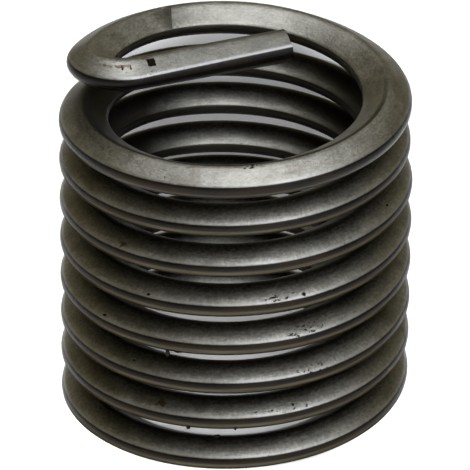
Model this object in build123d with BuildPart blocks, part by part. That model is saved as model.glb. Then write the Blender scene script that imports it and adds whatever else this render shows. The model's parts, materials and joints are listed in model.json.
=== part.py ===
from build123d import *
import math
import os

os.makedirs("parts", exist_ok=True)

# Helical thread insert: one rolled wire of diamond section, wound right-handed, with a driving tang across
# its upper end. Millimetres, +Z up, coil axis on Z, plain end down. Free state, as it stands before use.

# ---- driving dimensions -------------------------------------------------------------------------------
pitch = 1.5                # axial advance of one turn
outer_radius = 6.1         # axis to the outer crest flat
turns = 8.1                # plain end up to where the bend is measured from
flank_angle = 30.0         # each flank against a plane square to the axis
wire_height = 1.312        # ridge to ridge, along the axis
outer_flat = 0.36          # crest flat on the outside
inner_flat = 0.30          # crest flat in the bore
bend_azimuth = 175.7       # where that measure starts, counter-clockwise from +X, on the coil's pitch line

lead_turns = 0.8           # last part-turn below the bend, wound a little smaller and steeper than the coil
lead_pitch = 1.63          # axial advance of a whole turn of it
lead_tuck = 0.12           # how far it closes in towards the axis
bend_radius = 1.15         # of the wire's middle line
bend_rise = 0.09           # how far the wire climbs round the bend
tang_azimuth = 21.0        # direction of the tang from the bend to its tip
tang_offset = 1.38         # tang's middle line behind the axis
tang_reach = 2.31          # tip past the foot of the axis on that line
tang_slope = 1.0           # degrees the tang climbs to its tip
tang_roll = 9.0            # degrees the tang's outer crest is turned up

notch_turn = 0.166         # step of the break-off notch, in turns before the bend
notch_depth = 0.12         # of the step at the ridge
notch_slope = 0.16         # rise of the notch's floor per length towards the bend
notch_narrowing = 0.7      # how much shallower it gets per length from the ridge to the bore
notch_skew = 23.0          # degrees the step leans from square across the flank, its bore end towards the bend

# ---- derived ------------------------------------------------------------------------------------------
half_height = wire_height / 2
flank = math.tan(math.radians(flank_angle))
outer_depth = (half_height - outer_flat / 2) / flank   # middle line to the outer crest
inner_depth = (half_height - inner_flat / 2) / flank
middle_radius = outer_radius - outer_depth
bore_radius = middle_radius - inner_depth
plain_end_height = half_height                         # middle line at the plain end: its underside is z = 0


def azimuth(turn):
    """Polar angle in degrees of the middle line, turn counted down from the bend."""
    return bend_azimuth - 360 * turn


def helix_height(turn):
    return plain_end_height + pitch * (turns - turn)


def polar(radius, degrees, z=0.0):
    a = math.radians(degrees)
    return Vector(radius * math.cos(a), radius * math.sin(a), z)


def section_plane(at, heading):
    """Upright plane across the wire: x to the right of the heading, away from the coil's axis, y up."""
    return Plane(origin=at, x_dir=polar(1, heading - 90), z_dir=-polar(1, heading))


def wire_section(spare=0.0):
    """Corners of the diamond, its two crests cut square, each left proud by the spare."""
    outer, inner = outer_depth + spare, inner_depth + spare
    outer_half, inner_half = half_height - outer * flank, half_height - inner * flank
    return [
        (0, half_height), (outer, outer_half), (outer, -outer_half),
        (0, -half_height), (-inner, -inner_half), (-inner, inner_half),
    ]


# ---- arcs of wire ----------------------------------------------------------------------------------------
def wire_arc(section, centre, radius, start, angle, climb):
    """The section carried along true helix about an upright axis, counter-clockwise from above."""
    with BuildLine() as helix:
        Helix(climb * 360 / angle, climb, radius)
    path = helix.line.rotate(Axis.Z, start).moved(Location(centre))
    with BuildPart() as arc:
        sweep(section, path=path, is_frenet=True)
    return arc.part


def end_of(wire, point):
    """The cut face of a piece of wire nearest to the point."""
    return wire.faces().filter_by(GeomType.PLANE).sort_by_distance(point)[0]


def wound_on(arc, centre, angle, climb, count):
    """The arc and its copies, each one a further step up the same helix."""
    upright = Axis(centre, (0, 0, 1))
    return [arc.solids()[0].rotate(upright, i * angle).moved(Location((0, 0, i * climb))) for i in range(count)]


longest_arc = 60

# ---- coil: each arc has its crests cut to the two cylinders ----------------------------------------------
coil_turns = turns - lead_turns
coil_count = math.ceil(360 * coil_turns / longest_arc)
coil_angle, coil_climb = 360 * coil_turns / coil_count, pitch * coil_turns / coil_count
coil_foot = Vector(0, 0, plain_end_height)

with BuildSketch(section_plane(coil_foot + polar(middle_radius, azimuth(turns)), azimuth(turns) + 90)) as blank:
    Polygon(*wire_section(spare=0.06), align=None)
with BuildPart() as coil_arc:
    add(wire_arc(blank.sketch.face(), coil_foot, middle_radius, azimuth(turns), coil_angle, coil_climb))
    with BuildSketch(Plane.XY.rotated((0, 0, azimuth(turns) + 180)).offset(-pitch)):
        Circle(outer_radius)
        Circle(bore_radius, mode=Mode.SUBTRACT)
    extrude(amount=4 * pitch, mode=Mode.INTERSECT)
coil = wound_on(coil_arc.part, coil_foot, coil_angle, coil_climb, coil_count)

# ---- lead and bend ---------------------------------------------------------------------------------------
# Seen from above the lead is an arc a little smaller than the coil and tangent to it, the bend a small arc
# inside the lead's circle, and the tang the straight line tangent to the bend.
along, behind = polar(1, tang_azimuth), polar(1, tang_azimuth + 90)
lead_radius = middle_radius - lead_tuck / 2
lead_centre = polar(lead_tuck / 2, azimuth(lead_turns), helix_height(lead_turns))
across = tang_offset + bend_radius - lead_centre.dot(behind)
bend_offset = behind * across - along * math.sqrt((lead_radius - bend_radius) ** 2 - across ** 2)
bend_start = math.degrees(math.atan2(bend_offset.Y, bend_offset.X))

lead_sweep = (bend_start - azimuth(lead_turns)) % 360
lead_count = math.ceil(lead_sweep / longest_arc)
lead_angle, lead_climb = lead_sweep / lead_count, lead_pitch * lead_sweep / 360 / lead_count
lead_root = end_of(coil[-1], lead_centre + polar(lead_radius, azimuth(lead_turns)))
lead_arc = wire_arc(lead_root, lead_centre, lead_radius, azimuth(lead_turns), lead_angle, lead_climb)
lead = wound_on(lead_arc, lead_centre, lead_angle, lead_climb, lead_count)

bend_centre = lead_centre + bend_offset + Vector(0, 0, lead_climb * lead_count)
bend_sweep = (tang_azimuth - 90 - bend_start) % 360
bend_count = math.ceil(bend_sweep / longest_arc)
bend_angle, bend_climb = bend_sweep / bend_count, bend_rise / bend_count
bend_root = end_of(lead[-1], bend_centre + polar(bend_radius, bend_start))
bend_arc = wire_arc(bend_root, bend_centre, bend_radius, bend_start, bend_angle, bend_climb)
bend = wound_on(bend_arc, bend_centre, bend_angle, bend_climb, bend_count)

# ---- tang ------------------------------------------------------------------------------------------------
root = bend_centre - behind * bend_radius + Vector(0, 0, bend_rise)
tang_length = tang_reach - root.dot(along)
tip = root + along * tang_length + Vector(0, 0, tang_length * math.tan(math.radians(tang_slope)))
with BuildPart() as tang:
    with BuildSketch(section_plane(tip, tang_azimuth)) as tip_section:
        Polygon(*wire_section(), rotation=tang_roll, align=None)
    loft([end_of(bend[-1], root), tip_section.sketch.face()], ruled=True)

# ---- break-off notch: a step across the bore side's upper flank, its floor running out towards the bend ---
notch_azimuth = azimuth(notch_turn)
notch_ridge = lead_centre + polar(lead_radius, notch_azimuth) + Vector(
    0, 0, half_height + lead_pitch * ((notch_azimuth - azimuth(lead_turns)) / 360)
)
up_the_flank = polar(math.cos(math.radians(flank_angle)), notch_azimuth, math.sin(math.radians(flank_angle)))
cutter_top = 0.2           # the cutter stands this far out of the flank at the ridge
square_across = Plane(origin=notch_ridge, x_dir=polar(1, notch_azimuth + 90), z_dir=up_the_flank)
across_flank = Plane(square_across.location * Rotation(0, -notch_skew, 0))

with BuildPart() as notch:
    for station in (0.25, -1.3):
        share = 1 + notch_narrowing * station
        with BuildSketch(across_flank.offset(station)):
            Polygon(
                (0, cutter_top * share), (0, -notch_depth * share),
                ((cutter_top + notch_depth) / notch_slope * share, cutter_top * share),
                align=None,
            )
    loft(ruled=True)

# ---- the whole wire --------------------------------------------------------------------------------------
with BuildPart() as insert_wire:
    add(coil + lead + bend + tang.part.solids(), clean=False)
    add(notch.part, mode=Mode.SUBTRACT, clean=False)

insert_wire.part.label = "insert_wire"
export_step(insert_wire.part, "parts/insert_wire.step")
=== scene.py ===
import json
import math

import bpy
from mathutils import Matrix, Vector


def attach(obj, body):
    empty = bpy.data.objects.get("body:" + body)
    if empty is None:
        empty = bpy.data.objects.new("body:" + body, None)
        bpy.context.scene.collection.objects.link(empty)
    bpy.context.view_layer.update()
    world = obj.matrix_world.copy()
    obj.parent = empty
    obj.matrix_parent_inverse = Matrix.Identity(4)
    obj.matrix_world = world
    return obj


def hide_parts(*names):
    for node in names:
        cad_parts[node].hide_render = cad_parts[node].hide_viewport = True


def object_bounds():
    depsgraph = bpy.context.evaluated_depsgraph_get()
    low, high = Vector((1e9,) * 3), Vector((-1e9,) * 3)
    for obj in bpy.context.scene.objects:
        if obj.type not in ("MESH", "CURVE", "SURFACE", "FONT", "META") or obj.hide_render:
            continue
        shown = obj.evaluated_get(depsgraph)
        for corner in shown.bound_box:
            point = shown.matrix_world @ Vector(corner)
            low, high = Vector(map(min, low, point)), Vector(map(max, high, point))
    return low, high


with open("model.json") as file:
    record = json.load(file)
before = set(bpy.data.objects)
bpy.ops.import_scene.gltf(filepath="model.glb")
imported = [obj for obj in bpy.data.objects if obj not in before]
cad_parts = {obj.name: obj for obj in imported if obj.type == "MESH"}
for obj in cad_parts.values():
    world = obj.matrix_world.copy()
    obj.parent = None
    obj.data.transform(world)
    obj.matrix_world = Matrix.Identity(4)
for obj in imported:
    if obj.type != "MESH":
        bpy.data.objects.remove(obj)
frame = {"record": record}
cad_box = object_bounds()

MM = 0.001
mounts = {m["name"]: m["dims"] for m in frame["record"]["mounts"]}

# ---- the wire, in millimetres and degrees: the CAD part's own dimensions --------------------------------
hair = 0.0002               # the mesh stands this far inside the CAD's outside, clear of its facets
outer_radius = mounts["hole_thread"]["r_mm"] - hair
pitch = 1.5                 # axial advance of one turn
turns = 8.1                 # plain end up to where the bend is measured from
flank_angle = 30.0          # each flank against a plane square to the axis
wire_height = 1.312         # ridge to ridge, along the axis
outer_flat = 0.36           # crest flat on the outside
inner_flat = 0.30           # crest flat in the bore
bend_azimuth = 175.7        # where that measure starts, counter-clockwise from +X

lead_turns = 0.8            # last part-turn below the bend, a little smaller and steeper than the coil
lead_pitch = 1.63           # axial advance of a whole turn of it
lead_tuck = 0.12            # how far it closes in towards the axis
bend_radius = 1.15          # of the wire's middle line
bend_rise = 0.09            # how far the wire climbs round the bend
tang_azimuth = 21.0         # direction of the tang from the bend to its tip
tang_offset = 1.38          # tang's middle line behind the axis
tang_reach = 2.31           # tip past the foot of the axis on that line
tang_slope = 1.0            # degrees the tang climbs to its tip
tang_roll = 9.0             # degrees the tang's outer crest is turned up

notch_turn = 0.166          # step of the break-off notch, in turns before the bend
notch_depth = 0.12          # of the step at the ridge
notch_slope = 0.09          # rise of its floor per length towards the bend, gentler than the CAD's 0.16
notch_narrowing = 0.7       # how much shallower it gets per length from the ridge to the bore
notch_skew = 23.0           # degrees the step leans from square across the flank

half_height = wire_height / 2
flank = math.tan(math.radians(flank_angle))
outer_depth = (half_height - outer_flat / 2) / flank    # middle line to the outer crest
inner_depth = (half_height - inner_flat / 2) / flank
middle_radius = outer_radius - outer_depth
turn_length = math.hypot(2 * math.pi * middle_radius, pitch)

# ---- how this worn coil strays from a true helix: millimetres, and turns counted down from the bend ------
sway = 0.05                 # all turns sway up and down this far
sway_period = 5.8           # turns from one high place to the next
sway_top = 1.3              # the first high place
sway_foot = (0.6, 2)        # turns above the plain end between which the sway comes in
lean = 0.15                 # the upper turns' far side stands this low
lean_back = 0.24            # where in a turn that side is
lean_start = 0.4            # turns past the lead over which the lean comes in
lean_end = 3.3              # turn to which it stays whole
lean_fade = 0.8             # turns over which it then goes
sags = (                    # places that have sunk, or risen: how far down, at which turn, over how many
    (0.08, 5.6, 0.6),
    (0.08, 7.75, 0.25),
    (-0.05, 0.26, 0.11),
)
sag_foot = 0.2              # turns above the plain end over which they come in
tuck = 0.10                 # one side is closed in this far towards the axis
tuck_turn = 1.5             # where that is
tuck_spread = 0.22          # and over how many turns

# ---- how the section and the mesh are cut up ------------------------------------------------------------
station_step = 0.104        # along the wire
outer_round = 0.29          # radius of the outer crest's corners, which nearly meet
inner_round = 0.22          # and of the inner crest's
ridge_round = 0.36          # radius of the two ridges
corner_cuts = 3             # facets round each corner
flank_cuts = 2              # points across each flank between its roundings
crest_cuts = 1              # and across each crest
sharp_angle = 40.0          # edges bent by more than this are shaded sharp

notch_from, notch_to = -0.12, 1.6     # lengths ahead of the step between which the stations are closer
notch_step = 0.06                     # their distance
notch_edge = 0.004                    # half the distance of the pair that has the step between them
skew_past_ridge = 0.12                # how far past the ridge the stations still lean with the step
skew_fade = 1.3                       # length outside those limits over which they stand up again


def azimuth(turn):
    """Polar angle in degrees of the middle line, turn counted down from the bend."""
    return bend_azimuth - 360 * turn


def helix_height(turn):
    return half_height + pitch * (turns - turn)


def along_wire(turn):
    """Length of wire from the plain end to a turn."""
    return (turns - turn) * turn_length


def polar(radius, degrees, z=0.0):
    a = math.radians(degrees)
    return Vector((radius * math.cos(a), radius * math.sin(a), z))


def smooth(a, b, x):
    """0 at a, 1 at b, and an even curve between them."""
    x = min(1.0, max(0.0, (x - a) / (b - a)))
    return x * x * (3 - 2 * x)


def hump(x, middle, spread):
    return math.exp(-(((x - middle) / spread) ** 2))


def strays(turn):
    """How far the coil stands off its true helix at a turn: (outward, up)."""
    up = sway * math.cos(2 * math.pi * (turn - sway_top) / sway_period)
    up *= smooth(lead_turns, sway_top, turn) * smooth(turns - sway_foot[0], turns - sway_foot[1], turn)
    far_side = ((1 + math.cos(2 * math.pi * (turn - lean_back))) / 2) ** 2
    comes = smooth(lead_turns, lead_turns + lean_start, turn)
    goes = smooth(lean_end + lean_fade, lean_end, turn)
    up -= lean * far_side * comes * goes
    sunk = sum(by * hump(turn, at, spread) for by, at, spread in sags)
    up -= sunk * smooth(turns, turns - sag_foot, turn)
    return -tuck * hump(turn, tuck_turn, tuck_spread), up


# ---- middle line: each station is (point, outward direction, roll, turns left before the bend) ----------
def round_run(centre, radius, start, sweep, climb, shares, first_turn=None):
    """Stations round an upright axis, which stray from it where the run counts turns."""
    for share in shares:
        outward = polar(1, start + sweep * share)
        point = centre + outward * radius + Vector((0, 0, climb * share))
        turn = None
        if first_turn is not None:
            turn = first_turn - sweep * share / 360
            aside, up = strays(turn)
            point += outward * aside + Vector((0, 0, up))
        yield point, outward, 0.0, turn


def even(sweep, radius, climb, first=1):
    """Shares of a run, a station's step apart."""
    count = math.ceil(math.hypot(math.radians(sweep) * radius, climb) / station_step)
    return [i / count for i in range(first, count + 1)]


# Seen from above the lead is an arc a little smaller than the coil and tangent to it, the bend a small arc
# inside the lead's circle, and the tang the straight line tangent to the bend.
along, behind = polar(1, tang_azimuth), polar(1, tang_azimuth + 90)
lead_radius = middle_radius - lead_tuck / 2
lead_centre = polar(lead_tuck / 2, azimuth(lead_turns), helix_height(lead_turns))
across = tang_offset + bend_radius - lead_centre.dot(behind)
bend_offset = behind * across - along * math.sqrt((lead_radius - bend_radius) ** 2 - across**2)
bend_start = math.degrees(math.atan2(bend_offset.y, bend_offset.x))
lead_sweep = (bend_start - azimuth(lead_turns)) % 360
lead_climb = lead_pitch * lead_sweep / 360
bend_centre = lead_centre + bend_offset + Vector((0, 0, lead_climb))
bend_sweep = (tang_azimuth - 90 - bend_start) % 360
root = bend_centre - behind * bend_radius + Vector((0, 0, bend_rise))
tang_length = tang_reach - root.dot(along)


def coil_stations():
    foot = Vector((0, 0, half_height))
    sweep = 360 * (turns - lead_turns)
    climb = pitch * (turns - lead_turns)
    shares = even(sweep, middle_radius, climb, 0)
    return list(round_run(foot, middle_radius, azimuth(turns), sweep, climb, shares, turns))


def lead_stations():
    """The lead's, closer at the notch, with a pair that has its step between them."""
    lead_length = math.radians(lead_sweep) * lead_radius
    notch_share = ((azimuth(notch_turn) - azimuth(lead_turns)) % 360) / lead_sweep
    shares = [
        share for share in even(lead_sweep, lead_radius, lead_climb)
        if not notch_from < (share - notch_share) * lead_length < notch_to
    ]
    close = [notch_from + 0.01, -notch_step, -notch_edge, notch_edge]
    close += [notch_step * i for i in range(1, int(notch_to / notch_step))]
    shares = sorted(shares + [notch_share + offset / lead_length for offset in close])
    start = azimuth(lead_turns)
    return list(round_run(lead_centre, lead_radius, start, lead_sweep, lead_climb, shares, lead_turns))


def bend_stations():
    shares = even(bend_sweep, bend_radius, bend_rise)
    return list(round_run(bend_centre, bend_radius, bend_start, bend_sweep, bend_rise, shares))


def tang_stations():
    made = []
    count = math.ceil(tang_length / station_step)
    for i in range(1, count + 1):
        share = i / count
        point = root + along * tang_length * share
        point.z += tang_length * share * math.tan(math.radians(tang_slope))
        made.append((point, -behind, tang_roll * share, None))
    return made


stations = coil_stations()
lead_first = len(stations)
stations += lead_stations()
lead_end = len(stations)
stations += bend_stations()
bend_end = len(stations)
stations += tang_stations()


# ---- section: six corners, each rounded inside the CAD's sharp one --------------------------------------
def section():
    """Points (outward, up) round the diamond, from the upper ridge over the outer crest and back."""
    corners = (
        (0, half_height, ridge_round),
        (outer_depth, outer_flat / 2, outer_round),
        (outer_depth, -outer_flat / 2, outer_round),
        (0, -half_height, ridge_round),
        (-inner_depth, -inner_flat / 2, inner_round),
        (-inner_depth, inner_flat / 2, inner_round),
    )
    crests = (1, 4)         # the corners that a crest follows
    arcs = []
    for i, (x, y, r) in enumerate(corners):
        here = Vector((x, y))
        back = (Vector(corners[i - 1][:2]) - here).normalized()
        ahead = (Vector(corners[(i + 1) % 6][:2]) - here).normalized()
        half_angle = back.angle(ahead) / 2
        centre = here + (back + ahead).normalized() * r / math.sin(half_angle)
        reach = r / math.tan(half_angle)
        begin = (here + back * reach - centre).normalized()
        finish = (here + ahead * reach - centre).normalized()
        arcs.append([centre + begin.slerp(finish, k / corner_cuts) * r for k in range(corner_cuts + 1)])
    points = []
    for i, arc in enumerate(arcs):
        points += arc
        cuts = crest_cuts if i in crests else flank_cuts
        following = arcs[(i + 1) % 6][0]
        points += [arc[-1].lerp(following, k / (cuts + 1)) for k in range(1, cuts + 1)]
    return points


# ---- break-off notch: the CAD's, as a step and a floor that runs out towards the bend -------------------
slope = math.radians(flank_angle)
skew = math.radians(notch_skew)


def up_flank(place):
    """How far a place is up the bore side's flank: below 0 in the bore, 0 at the ridge, above 0 past it."""
    return place.x * math.cos(slope) + (abs(place.y) - half_height) * math.sin(slope)


def skewed(place, ahead):
    """How far a place near the notch is moved along the wire, so that the stations lie along its step."""
    near = smooth(notch_from - skew_fade, notch_from, ahead) * smooth(notch_to + skew_fade, notch_to, ahead)
    return -math.tan(skew) * min(up_flank(place), skew_past_ridge) * near


def notched(place, ahead):
    """The place on the section, let down to the notch's floor, and how far."""
    if place.y <= 0:
        return place, 0.0
    upward = up_flank(place)
    clear = (place.y - half_height) * math.cos(slope) - place.x * math.sin(slope)
    from_step = ahead * math.cos(skew) + upward * math.sin(skew)
    share = 1 + notch_narrowing * (upward * math.cos(skew) - ahead * math.sin(skew))
    deep = notch_slope * from_step - notch_depth * share
    if from_step <= 0 or clear <= deep:
        return place, 0.0
    return place + Vector((-math.sin(slope), math.cos(slope))) * (deep - clear), clear - deep


def on_lead(point, outward, turn, place):
    """A place on the lead's section: its middle point, outward direction, place and how far it is cut."""
    ahead = (notch_turn - turn) * 2 * math.pi * lead_radius
    moved = skewed(place, ahead)
    by = math.degrees(moved / lead_radius)
    out_here = polar(1, math.degrees(math.atan2(outward.y, outward.x)) + by)
    at = lead_centre + out_here * lead_radius
    at.z = point.z + lead_climb * by / lead_sweep
    return at, out_here, *notched(place, ahead + moved)


# ---- the wire's mesh, with each point's place on the wire kept for its looks ----------------------------
verts, faces = [], []
wire_place = []             # length along the wire, out and up on its section
notch_cut = []              # how far the notch has let the point down


def add_point(point, place, cut=0.0):
    verts.append(point * MM)
    wire_place.append(place)
    notch_cut.append(cut)


def add_skin(first, size, spans):
    """Faces between closed rings of points that follow one another."""
    for i in range(spans):
        a = first + i * size
        b = a + size
        for j in range(size):
            k = (j + 1) % size
            faces.append((a + j, a + k, b + k, b + j))


ring = section()
wire_length = 0.0
before = stations[0][0]
for number, (point, outward, roll, turn_left) in enumerate(stations):
    wire_length += (point - before).length
    before = point
    if number == bend_end:
        tang_from = wire_length
    rolled = Matrix.Rotation(math.radians(roll), 2)
    for place in ring:
        at, out_here, turned, cut = point, outward, rolled @ place, 0.0
        if lead_first <= number < lead_end:
            at, out_here, turned, cut = on_lead(point, outward, turn_left, place)
        surface = at + out_here * turned.x + Vector((0, 0, turned.y))
        add_point(surface, (wire_length, place.x, place.y), cut)
faces.append(tuple(reversed(range(len(ring)))))
add_skin(0, len(ring), len(stations) - 1)
faces.append(tuple(range(len(verts) - len(ring), len(verts))))

# ---- burrs left on the wire: (turn, out, up, half sizes along, out and up) ------------------------------
burrs = (
    (4.80, 0.74, -0.31, 0.08, 0.06, 0.17),
    (4.79, 0.75, -0.20, 0.14, 0.06, 0.05),
    (6.78, 0.76, -0.24, 0.07, 0.05, 0.07),
    (6.737, 0.77, -0.21, 0.045, 0.05, 0.05),
    (7.755, 0.06, 0.655, 0.12, 0.07, 0.08),
)
burr_rings, burr_sides = 4, 8
burr_bump = 0.25               # share by which a burr's sides bulge and draw in
burr_up = -2 * half_height     # burrs are marked as below the wire, which gives them the undersides' and the grooves' painted shade, and the pits' black


def burr(turn, out, up, half_along, half_out, half_up):
    """A small pointed lump on the wire."""
    outward = polar(1, azimuth(turn))
    ahead = polar(1, azimuth(turn) + 90)
    middle = outward * (middle_radius + out) + Vector((0, 0, helix_height(turn) + up + strays(turn)[1]))
    first = len(verts)
    for i in range(burr_rings + 1):
        width = math.sin(math.pi * i / burr_rings)
        for j in range(burr_sides):
            a = 2 * math.pi * j / burr_sides
            bump = 1 + burr_bump * math.sin(3 * a + 2 * i)
            point = middle + outward * half_out * width * math.cos(a) * bump
            point += ahead * half_along * width * math.sin(a) * bump
            point.z -= half_up * math.cos(math.pi * i / burr_rings)
            add_point(point, (along_wire(turn), 0.0, burr_up))
    add_skin(first, burr_sides, burr_rings)


for each in burrs:
    burr(*each)

mesh = bpy.data.meshes.new("insert_wire_steel")
mesh.from_pydata(verts, [], faces)
mesh.validate()
layer = mesh.attributes.new("wire_place", "FLOAT_VECTOR", "POINT")
layer.data.foreach_set("vector", [c for p in wire_place for c in p])
mesh.attributes.new("notch_floor", "FLOAT", "POINT").data.foreach_set("value", notch_cut)
mesh.shade_smooth()
mesh.set_sharp_from_angle(angle=math.radians(sharp_angle))
wire = bpy.data.objects.new("insert_wire_steel", mesh)
bpy.context.scene.collection.objects.link(wire)

# ---- painted shade, and a darker band, on stretches of the wire: (where it is gone, where it is whole), lengths along the wire ---
open_turns = 1.04           # the last of the wire, in turns of its length, has no turn above it
open_length = wire_length - 2 * math.pi * middle_radius * open_turns
open_fade = 2.5             # length below that over which the wire gets covered
bend_shade_start = (along_wire(1.30), along_wire(1.10))     # painted shade in the bore, under the bend
bend_shade_end = (along_wire(0.86), along_wire(0.98))
top_edge_start = (along_wire(1.1), along_wire(0.95))        # darker band on the top turn's front, beside its ridge
top_edge_end = (along_wire(0.45), along_wire(0.55))

# ---- marks on the coil: (turn, out, up, half sizes along and across) ------------------------------------
dark_spots = (
    (3.82, 0.67, 0.27, 0.07, 0.05),
    (3.674, 0.67, 0.27, 0.06, 0.07),
    (3.702, 0.60, 0.31, 0.12, 0.03),
    (4.874, 0.64, 0.29, 0.06, 0.06),
    (5.84, 0.47, 0.38, 0.06, 0.05),
    (2.56, 0.47, 0.38, 0.09, 0.04),
    (4.795, 0.75, -0.29, 0.14, 0.16),
    (6.78, 0.77, -0.24, 0.09, 0.09),
    (6.737, 0.78, -0.21, 0.07, 0.07),
    (0.7290, 0.06, 0.62, 0.03, 0.10),
    (0.7275, 0.03, 0.64, 0.02, 0.07),
    (0.7250, 0.05, 0.63, 0.04, 0.05),
)
pitted_patches = (
    (5.665, 0.66, 0.26, 0.55, 0.16),
    (4.665, 0.60, 0.31, 0.9, 0.22),
    (6.69, 0.60, 0.31, 0.9, 0.14),
    (3.70, 0.62, 0.30, 0.6, 0.12),
    (0.735, 0.10, 0.60, 0.5, 0.10),
)
rust_spots = (
    (6.809, 0.47, 0.38, 0.17, 0.12),
    (6.566, 0.80, 0.0, 0.16, 0.10),
    (2.85, 0.60, 0.31, 0.12, 0.10),
)

# ---- marks on the tang: (distance back from its tip, out, up, half sizes along and across) --------------
tang_pit = (5.02, 0.31, 0.47, 0.125, 0.12)      # the square one
tang_spots = (
    (5.71, 0.37, 0.44, 0.015, 0.09),
    (5.93, 0.36, 0.45, 0.03, 0.10),
)
tang_rust = (
    (6.05, 0.34, 0.46, 0.10, 0.05),
    (6.24, 0.33, 0.46, 0.07, 0.05),
    (6.43, 0.32, 0.47, 0.05, 0.06),
    (5.16, 0.12, 0.57, 0.22, 0.06),
    (5.90, 0.30, 0.48, 0.30, 0.05),
)

# ---- colours --------------------------------------------------------------------------------------------
white = (1, 1, 1, 1)
bare_dim, bare_pale = (0.226, 0.217, 0.182, 1), (0.274, 0.265, 0.225, 1)
dark_streak = (0.15, 0.144, 0.122, 1)
brown_stain = (0.105, 0.085, 0.060, 1)
# painted shade for the undersides and the inner crest
under_shade_dim, under_shade_pale = (0.030, 0.027, 0.021, 1), (0.050, 0.044, 0.033, 1)
# painted shade along the outer crest's upper half, near black
crest_shade_dim, crest_shade_pale = (0.015, 0.014, 0.013, 1), (0.021, 0.017, 0.013, 1)
# painted shade along the outer crest's lower half, less dark
crest_lower_shade_dim, crest_lower_shade_pale = (0.042, 0.037, 0.026, 1), (0.072, 0.065, 0.047, 1)
# painted shade in the grooves between covered turns
groove_shade = (0.03, 0.028, 0.022, 1)
# painted shade in the bore
bore_shade = (0.017, 0.016, 0.016, 1)
# darker band beside the top turn's ridge
ridge_band_dark = (0.03, 0.028, 0.024, 1)
# bright edge lines, partly a worn edge and partly a painted highlight
bright_coil = (0.29, 0.285, 0.27, 1)
bright_tang = (0.27, 0.265, 0.255, 1)
# painted shade in the notch
notch_shade = (0.055, 0.052, 0.045, 1)
pit_black = (0.014, 0.011, 0.008, 1)
square_black = (0.005, 0.004, 0.003, 1)
tang_brown = (0.070, 0.046, 0.028, 1)
rust_brown = (0.060, 0.036, 0.016, 1)
# painted shade on reflections, given as a Specular Tint
glance_shade_tint = (0.26, 0.235, 0.185, 1)


class Nodes:
    """A new material's nodes, with short names for those used here."""

    def __init__(self, name):
        self.material = bpy.data.materials.new(name)
        self.material.use_nodes = True
        self.tree = self.material.node_tree
        self.tree.nodes.clear()

    def add(self, kind, inputs=(), **settings):
        """A node; each of its inputs gets a value or a link from another node's output."""
        made = self.tree.nodes.new(kind)
        for name, value in settings.items():
            setattr(made, name, value)
        for name, value in dict(inputs).items():
            if isinstance(value, bpy.types.NodeSocket):
                self.tree.links.new(value, made.inputs[name])
            else:
                made.inputs[name].default_value = value
        return made

    def math(self, operation, a, b):
        return self.add("ShaderNodeMath", {0: a, 1: b}, operation=operation).outputs[0]

    def vector(self, operation, a, b=(0, 0, 0)):
        made = self.add("ShaderNodeVectorMath", {0: a, 1: b}, operation=operation)
        return made.outputs["Value" if operation == "LENGTH" else "Vector"]

    def split(self, vector):
        return self.add("ShaderNodeSeparateXYZ", {0: vector}).outputs

    def attribute(self, name):
        return self.add("ShaderNodeAttribute", attribute_name=name).outputs

    def object_place(self):
        return self.add("ShaderNodeTexCoord").outputs["Object"]

    def between(self, value, low, high, out_low=0.0, out_high=1.0):
        """Runs from out_low to out_high as the value goes from low to high, and stays there."""
        inputs = {"Value": value, "From Min": low, "From Max": high, "To Min": out_low, "To Max": out_high}
        return self.add("ShaderNodeMapRange", inputs, clamp=True).outputs["Result"]

    def product(self, *factors):
        total = factors[0]
        for factor in factors[1:]:
            total = self.math("MULTIPLY", total, factor)
        return total

    def either(self, a, b):
        return self.math("MAXIMUM", a, b)

    def mix(self, factor, a, b, **settings):
        """Colour a where the factor is 0, b where it is 1."""
        inputs = {0: factor, 6: a, 7: b}
        return self.add("ShaderNodeMix", inputs, data_type="RGBA", **settings).outputs[2]

    def scaled(self, colour, low, high, amount):
        """The colour times a grey that runs from low to high as the amount goes from 0 to 1."""
        return self.mix(1.0, colour, self.between(amount, 0.0, 1.0, low, high), blend_type="MULTIPLY")

    def bump(self, strength, depth, height, **under):
        """A relief some millimetres deep, on top of the one under it."""
        inputs = {"Strength": strength, "Distance": depth * MM, "Height": height, **under}
        return self.add("ShaderNodeBump", inputs).outputs["Normal"]

    def surfaced(self, shader):
        """The material, with this shader as its surface."""
        output = self.add("ShaderNodeOutputMaterial")
        self.tree.links.new(shader.outputs[0], output.inputs["Surface"])
        return self.material


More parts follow.
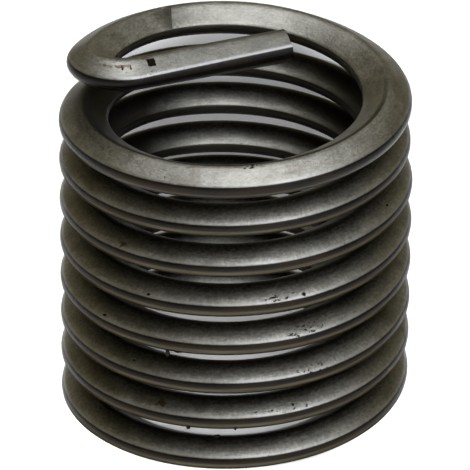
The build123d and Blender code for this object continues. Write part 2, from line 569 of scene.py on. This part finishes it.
# ---- steel ----------------------------------------------------------------------------------------------
class SteelNodes(Nodes):
    """The steel's nodes, which know their place on the wire, with its patterns and its regions."""

    def __init__(self, name):
        super().__init__(name)
        self.place = self.attribute("wire_place")["Vector"]
        self.along, self.out, self.up = self.split(self.place)
        self.inward = self.math("MULTIPLY", self.out, -1.0)
        self.add_patterns()
        self.add_regions()

    def noise(self, scale, stretch=(1, 1, 1), detail=4.0, rough=0.6):
        spread = self.vector("MULTIPLY", self.place, stretch)
        inputs = {"Vector": spread, "Scale": scale, "Detail": detail, "Roughness": rough}
        return self.add("ShaderNodeTexNoise", inputs).outputs["Fac"]

    def add_patterns(self):
        """Uneven patterns: scale, and stretch along the wire, out and up."""
        self.blotch = self.noise(0.55, (1, 1.2, 1.2), 3.0, 0.5)
        self.stains = self.noise(0.9)
        self.mottle = self.noise(2.2, (0.6, 1.0, 1.0))
        self.speck = self.noise(4.5, detail=3.0, rough=0.7)
        self.streak = self.noise(5.0, (0.12, 2.2, 2.2))
        self.comb = self.noise(8.0, (1.3, 0.5, 0.5), rough=0.7)
        self.fine = self.noise(8.0, detail=2.0)
        self.grain = self.noise(10.0, (0.8, 1.2, 1.2), rough=0.7)

    def add_regions(self):
        """Masks, 1 in a region and 0 outside it, by millimetres on the section and along the wire."""
        out, up = self.out, self.up
        at_outer = self.between(out, 0.66, 0.70)
        top_turn = self.between(self.along, along_wire(2), along_wire(0.6))
        crest_up = self.math("ADD", up, self.between(top_turn, 0.0, 1.0, 0.0, 0.11))
        upper_edges = self.between(up, 0.205, 0.175), self.between(crest_up, -0.10, -0.07)
        lower_edges = self.between(crest_up, 0.035, -0.05), self.between(up, -0.18, -0.12)
        shoulder_edges = self.between(up, 0.19, 0.215), self.between(up, 0.275, 0.235)
        self.crest_upper = self.product(at_outer, *upper_edges)
        self.crest_lower = self.product(at_outer, *lower_edges)
        self.shoulder = self.product(self.between(out, 0.62, 0.66), *shoulder_edges)
        self.inner_crest = self.between(self.inward, 0.825, 0.845)
        self.below = self.between(up, -0.04, -0.08)
        self.on_tang = self.between(self.along, tang_from - 1.0, tang_from + 0.3)
        self.covered = self.between(self.along, open_length, open_length - open_fade)

    def spot(self, along, out, up, half_along, half_across, edge=0.35, square=False):
        """1 inside a small spot on the wire, 0 outside it, with a ragged edge."""
        off = self.vector("SUBTRACT", self.place, (along, out, up))
        off = self.vector("MULTIPLY", off, (1 / half_along, 1 / half_across, 1 / half_across))
        if square:
            sides = self.split(self.vector("ABSOLUTE", off))
            away = self.either(sides[0], self.either(sides[1], sides[2]))
        else:
            away = self.vector("LENGTH", off)
        ragged = self.math("ADD", away, self.between(self.grain, 0.3, 0.7, -edge, edge))
        return self.between(ragged, 1.15, 0.85)


def bare_steel(s):
    """The flanks: uneven, streaked and stained steel, darker on the tang, with painted light that makes
    covered turns paler in the bore.
    """
    colour = s.mix(s.between(s.blotch, 0.35, 0.65), bare_dim, bare_pale)
    colour = s.mix(s.between(s.streak, 0.45, 0.75, 0.0, 0.2), colour, dark_streak)
    colour = s.mix(s.product(s.between(s.stains, 0.56, 0.72), 0.45), colour, brown_stain)
    colour = s.scaled(colour, 0.86, 1.12, s.between(s.mottle, 0.35, 0.65))
    colour = s.scaled(colour, 0.80, 1.20, s.between(s.grain, 0.35, 0.65))
    combed = s.between(s.comb, 0.44, 0.66, -1.0, 1.0)
    scuffed = s.product(s.covered, s.between(s.out, 0.28, 0.6), combed)
    colour = s.scaled(colour, 0.83, 1.17, s.between(scuffed, -1.0, 1.0))
    colour = s.scaled(colour, 1.0, 0.64, s.on_tang)
    # painted light: covered turns paler on their bore side
    return s.scaled(colour, 1.0, 1.25, s.product(s.covered, s.between(s.inward, 0.1, 0.5)))


def dark_crests(s, colour):
    """Painted shade on the undersides and crests: near black along the outer crest's upper half and less
    dark on its lower half.
    """
    streaked = s.between(s.streak, 0.35, 0.65)
    # painted shade: the undersides and the inner crest darkened
    under = s.mix(streaked, under_shade_dim, under_shade_pale)
    colour = s.mix(s.either(s.inner_crest, s.below), colour, under)
    # painted shade: the outer crest near black on its upper half and less dark on its lower half
    darkest = s.mix(s.between(s.blotch, 0.40, 0.60), crest_shade_dim, crest_shade_pale)
    colour = s.mix(s.crest_upper, colour, darkest)
    return s.mix(s.crest_lower, colour, s.mix(streaked, crest_lower_shade_dim, crest_lower_shade_pale))


def shade_and_ridge_band(s, colour):
    """Painted shade in the grooves, at the bore's sides and under the bend, and a darker band beside the top
    turn's ridge.
    """
    aside = s.math("ABSOLUTE", s.out, 0.0)
    # painted shade in the grooves of covered turns, darkest at the ridge
    in_groove = s.product(s.covered, s.between(aside, 0.66, 0.24))
    colour = s.mix(s.product(in_groove, s.between(s.grain, 0.3, 0.6, 0.92, 0.7)), colour, groove_shade)
    # painted shade on the bore side of covered turns at the left and right, and under the bend
    sideways = s.split(s.object_place())[0]
    left_side = s.between(sideways, -1.2 * MM, -3.2 * MM)
    right_side = s.between(sideways, 1.8 * MM, 4.0 * MM, 0.0, 0.9)
    sides = s.product(s.covered, s.either(left_side, right_side), s.between(s.inward, -0.10, 0.10), 0.88)
    bend_shade = s.product(s.between(s.along, *bend_shade_start), s.between(s.along, *bend_shade_end))
    bend_shade = s.product(bend_shade, s.between(s.inward, 0.0, 0.25), 0.75)
    colour = s.mix(s.either(sides, bend_shade), colour, bore_shade)
    # a darker band beside the top turn's ridge, on its bore side
    edge = s.product(s.between(s.along, *top_edge_start), s.between(s.along, *top_edge_end))
    edge = s.product(edge, s.between(s.inward, -0.02, 0.02), s.between(s.inward, 0.18, 0.12))
    return s.mix(s.product(edge, 0.8), colour, ridge_band_dark)


def shoulder_and_notch(s, colour):
    """The bright line above the outer crest, partly a worn edge and partly a painted highlight, and the
    notch's floor, darker as it is deeper, a painted shade.
    """
    # partly a worn edge and partly a painted highlight: a bright line above the outer crest, on the coil and
    # on the tang
    colour = s.mix(s.product(s.shoulder, s.between(s.mottle, 0.35, 0.6, 0.15, 0.75)), colour, bright_coil)
    on_tang = s.product(s.shoulder, s.on_tang, s.between(s.grain, 0.3, 0.55, 0.4, 1.0))
    colour = s.mix(on_tang, colour, bright_tang)
    # painted shade: the notch's floor darker as it is deeper
    depth = s.attribute("notch_floor")["Fac"]
    return s.mix(s.between(depth, 0.0, 0.09, 0.0, 0.62), colour, notch_shade)


def pits(s):
    """Masks of all the pits, dark spots and burrs, and of the tang's square pit alone."""
    burred = s.between(s.up, -1.2 * half_height, -1.5 * half_height)
    pitted = s.either(s.between(s.speck, 0.70, 0.76, 0.0, 0.85), burred)
    fine_pits = s.between(s.fine, 0.595, 0.645)
    for turn, *there in pitted_patches:
        pitted = s.either(pitted, s.product(s.spot(along_wire(turn), *there), fine_pits, 0.9))
    for turn, *there in dark_spots:
        pitted = s.either(pitted, s.spot(along_wire(turn), *there))
    for back, *there in tang_spots:
        pitted = s.either(pitted, s.spot(wire_length - back, *there))
    back, *there = tang_pit
    square_pit = s.spot(wire_length - back, *there, edge=0.12, square=True)
    return s.either(pitted, square_pit), square_pit


def rust(s, colour):
    """Brown spots on the tang and on the coil."""
    for back, *there in tang_rust:
        rusty = s.spot(wire_length - back, *there, edge=0.6)
        colour = s.mix(s.product(rusty, 0.7), colour, tang_brown)
    for turn, *there in rust_spots:
        rusty = s.spot(along_wire(turn), *there, edge=0.6)
        colour = s.mix(s.product(rusty, 0.8), colour, rust_brown)
    return colour


def relief(s, pitted):
    """Fine grain, pits let into it, and slow waves."""
    fine = s.bump(0.8, 0.016, s.grain)
    pits_in = s.bump(0.8, 0.06, s.between(pitted, 0.0, 1.0, 1.0, 0.0), Normal=fine)
    return s.bump(0.6, 0.05, s.blotch, Normal=pits_in)


def steel():
    """Old rolled steel with soot, pits and rust."""
    s = SteelNodes("rolled_steel")
    pitted, square_pit = pits(s)
    colour = dark_crests(s, bare_steel(s))
    colour = shoulder_and_notch(s, shade_and_ridge_band(s, colour))
    colour = s.mix(pitted, colour, pit_black)
    colour = rust(s, s.mix(square_pit, colour, square_black))
    rough = s.between(s.blotch, 0.3, 0.7, 0.38, 0.48)
    rough = s.math("ADD", rough, s.between(s.grain, 0.3, 0.7, -0.04, 0.06))
    # painted shade on reflections: the outer crest's lower half and the undersides' outer part get a darker,
    # warm Specular Tint that dims their glancing reflections
    shaded_glance = s.either(s.crest_lower, s.product(s.below, s.between(s.out, 0.30, 0.50)))
    glancing = s.mix(s.product(shaded_glance, s.covered), white, glance_shade_tint)
    inputs = {
        "Base Color": colour, "Metallic": 1.0, "Roughness": rough, "Specular Tint": glancing,
        "Normal": relief(s, pitted),
    }
    return s.surfaced(s.add("ShaderNodeBsdfPrincipled", inputs))


wire.data.materials.append(steel())
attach(wire, "root")
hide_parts("insert_wire")

# ---- floor ----------------------------------------------------------------------------------------------
low, high = cad_box
floor_half = 4.0               # metres
paper_grey = 0.18
paper_glow = 0.08
painted_floor_shadows = (               # painted shadow: greyer patches behind the object and under its front, in millimetres
    ((0.0, 22.0), (4.0, 9.5), 0.09),     # (middle, half size, grey)
    ((0.0, -2.8), (4.2, 2.0), 0.068),
)
shade_whole, shade_gone = 0.75, 1.1      # shares of a patch's half size where its grey is whole and gone

corners = ((-1, -1), (1, -1), (1, 1), (-1, 1))
floor_mesh = bpy.data.meshes.new("studio_floor")
floor_mesh.from_pydata([(x * floor_half, y * floor_half, low[2]) for x, y in corners], [], [(0, 1, 2, 3)])
floor = bpy.data.objects.new("studio_floor", floor_mesh)
bpy.context.scene.collection.objects.link(floor)


def paper():
    """Pale paper that keeps the shadow and shows as white to the camera, to the steel and through glass,
    with painted shadow in greyer patches near the object.
    """
    n = Nodes("studio_paper")
    ray = n.add("ShaderNodeLightPath").outputs
    seen = n.either(n.either(ray["Is Camera Ray"], ray["Is Glossy Ray"]), ray["Is Transmission Ray"])
    glow = n.add("ShaderNodeEmission", {"Color": white, "Strength": n.product(seen, paper_glow)})
    here = n.object_place()
    grey = paper_grey
    # painted shadow: each patch greys the paper
    for (x, y), (half_x, half_y), shade in painted_floor_shadows:
        off = n.vector("SUBTRACT", here, (x * MM, y * MM, low[2]))
        off = n.vector("MULTIPLY", off, (1 / (half_x * MM), 1 / (half_y * MM), 0))
        patch = n.between(n.vector("LENGTH", off), shade_whole, shade_gone, shade, paper_grey)
        grey = n.math("MINIMUM", grey, patch)
    base = n.add("ShaderNodeBsdfDiffuse", {"Color": grey})
    return n.surfaced(n.add("ShaderNodeAddShader", {0: glow.outputs[0], 1: base.outputs[0]}))


floor_mesh.materials.append(paper())

# ---- lights: in metres and watts ------------------------------------------------------------------------
middle = Vector(((low[0] + high[0]) / 2, (low[1] + high[1]) / 2, (low[2] + high[2]) / 2))


def panel(name, offset, size, energy, colour=(1, 1, 1)):
    """A soft rectangular lamp at an offset from the object's middle, facing it."""
    lamp = bpy.data.lights.new(name, "AREA")
    lamp.shape = "RECTANGLE"
    lamp.size, lamp.size_y = size
    lamp.energy = energy
    lamp.color = colour
    holder = bpy.data.objects.new(name, lamp)
    holder.location = middle + Vector(offset)
    holder.rotation_euler = Vector(offset).to_track_quat("Z", "Y").to_euler()
    bpy.context.scene.collection.objects.link(holder)
    return holder


cool_white = (0.95, 1.0, 1.14)
panel("overhead_softbox", offset=(0.095, -0.15, 0.40), size=(0.28, 0.90), energy=3.5, colour=cool_white)
front_light = panel("front_floor_light", offset=(0.0, -0.30, 0.168), size=(0.034, 0.034), energy=21.0)
front_light.light_linking.receiver_collection = bpy.data.collections.new("lit_by_front_light")
front_light.light_linking.receiver_collection.objects.link(floor)

world_colour = (1.0, 0.87, 0.48, 1)
world_strength = 0.20
world = bpy.data.worlds.new("dim_studio")
world.use_nodes = True
background = world.node_tree.nodes["Background"]
background.inputs["Color"].default_value = world_colour
background.inputs["Strength"].default_value = world_strength
bpy.context.scene.world = world

# ---- camera ---------------------------------------------------------------------------------------------
camera_elevation = 29.275      # degrees above the floor
camera_roll = 0.4175           # degrees
camera_distance = 0.17463      # metres from what it is aimed at
camera_lens = 384.6
aim_side = -0.000017           # metres from the coil's axis
aim_height = 0.006712          # metres above the floor
aim = Vector((aim_side, 0, aim_height + low[2]))
tilt = math.radians(camera_elevation)
view = bpy.data.cameras.new("photo_view")
view.sensor_width = 36
view.lens = camera_lens
view.clip_start = 0.01
view.clip_end = 50
camera = bpy.data.objects.new("photo_view", view)
camera.location = aim + Vector((0, -math.cos(tilt), math.sin(tilt))) * camera_distance
tilted = Matrix.Rotation(math.pi / 2 - tilt, 3, "X")
camera.rotation_euler = (tilted @ Matrix.Rotation(math.radians(camera_roll), 3, "Z")).to_euler()
bpy.context.scene.collection.objects.link(camera)
bpy.context.scene.camera = camera
bpy.context.scene.view_settings.view_transform = "Standard"

bpy.context.view_layer.update()
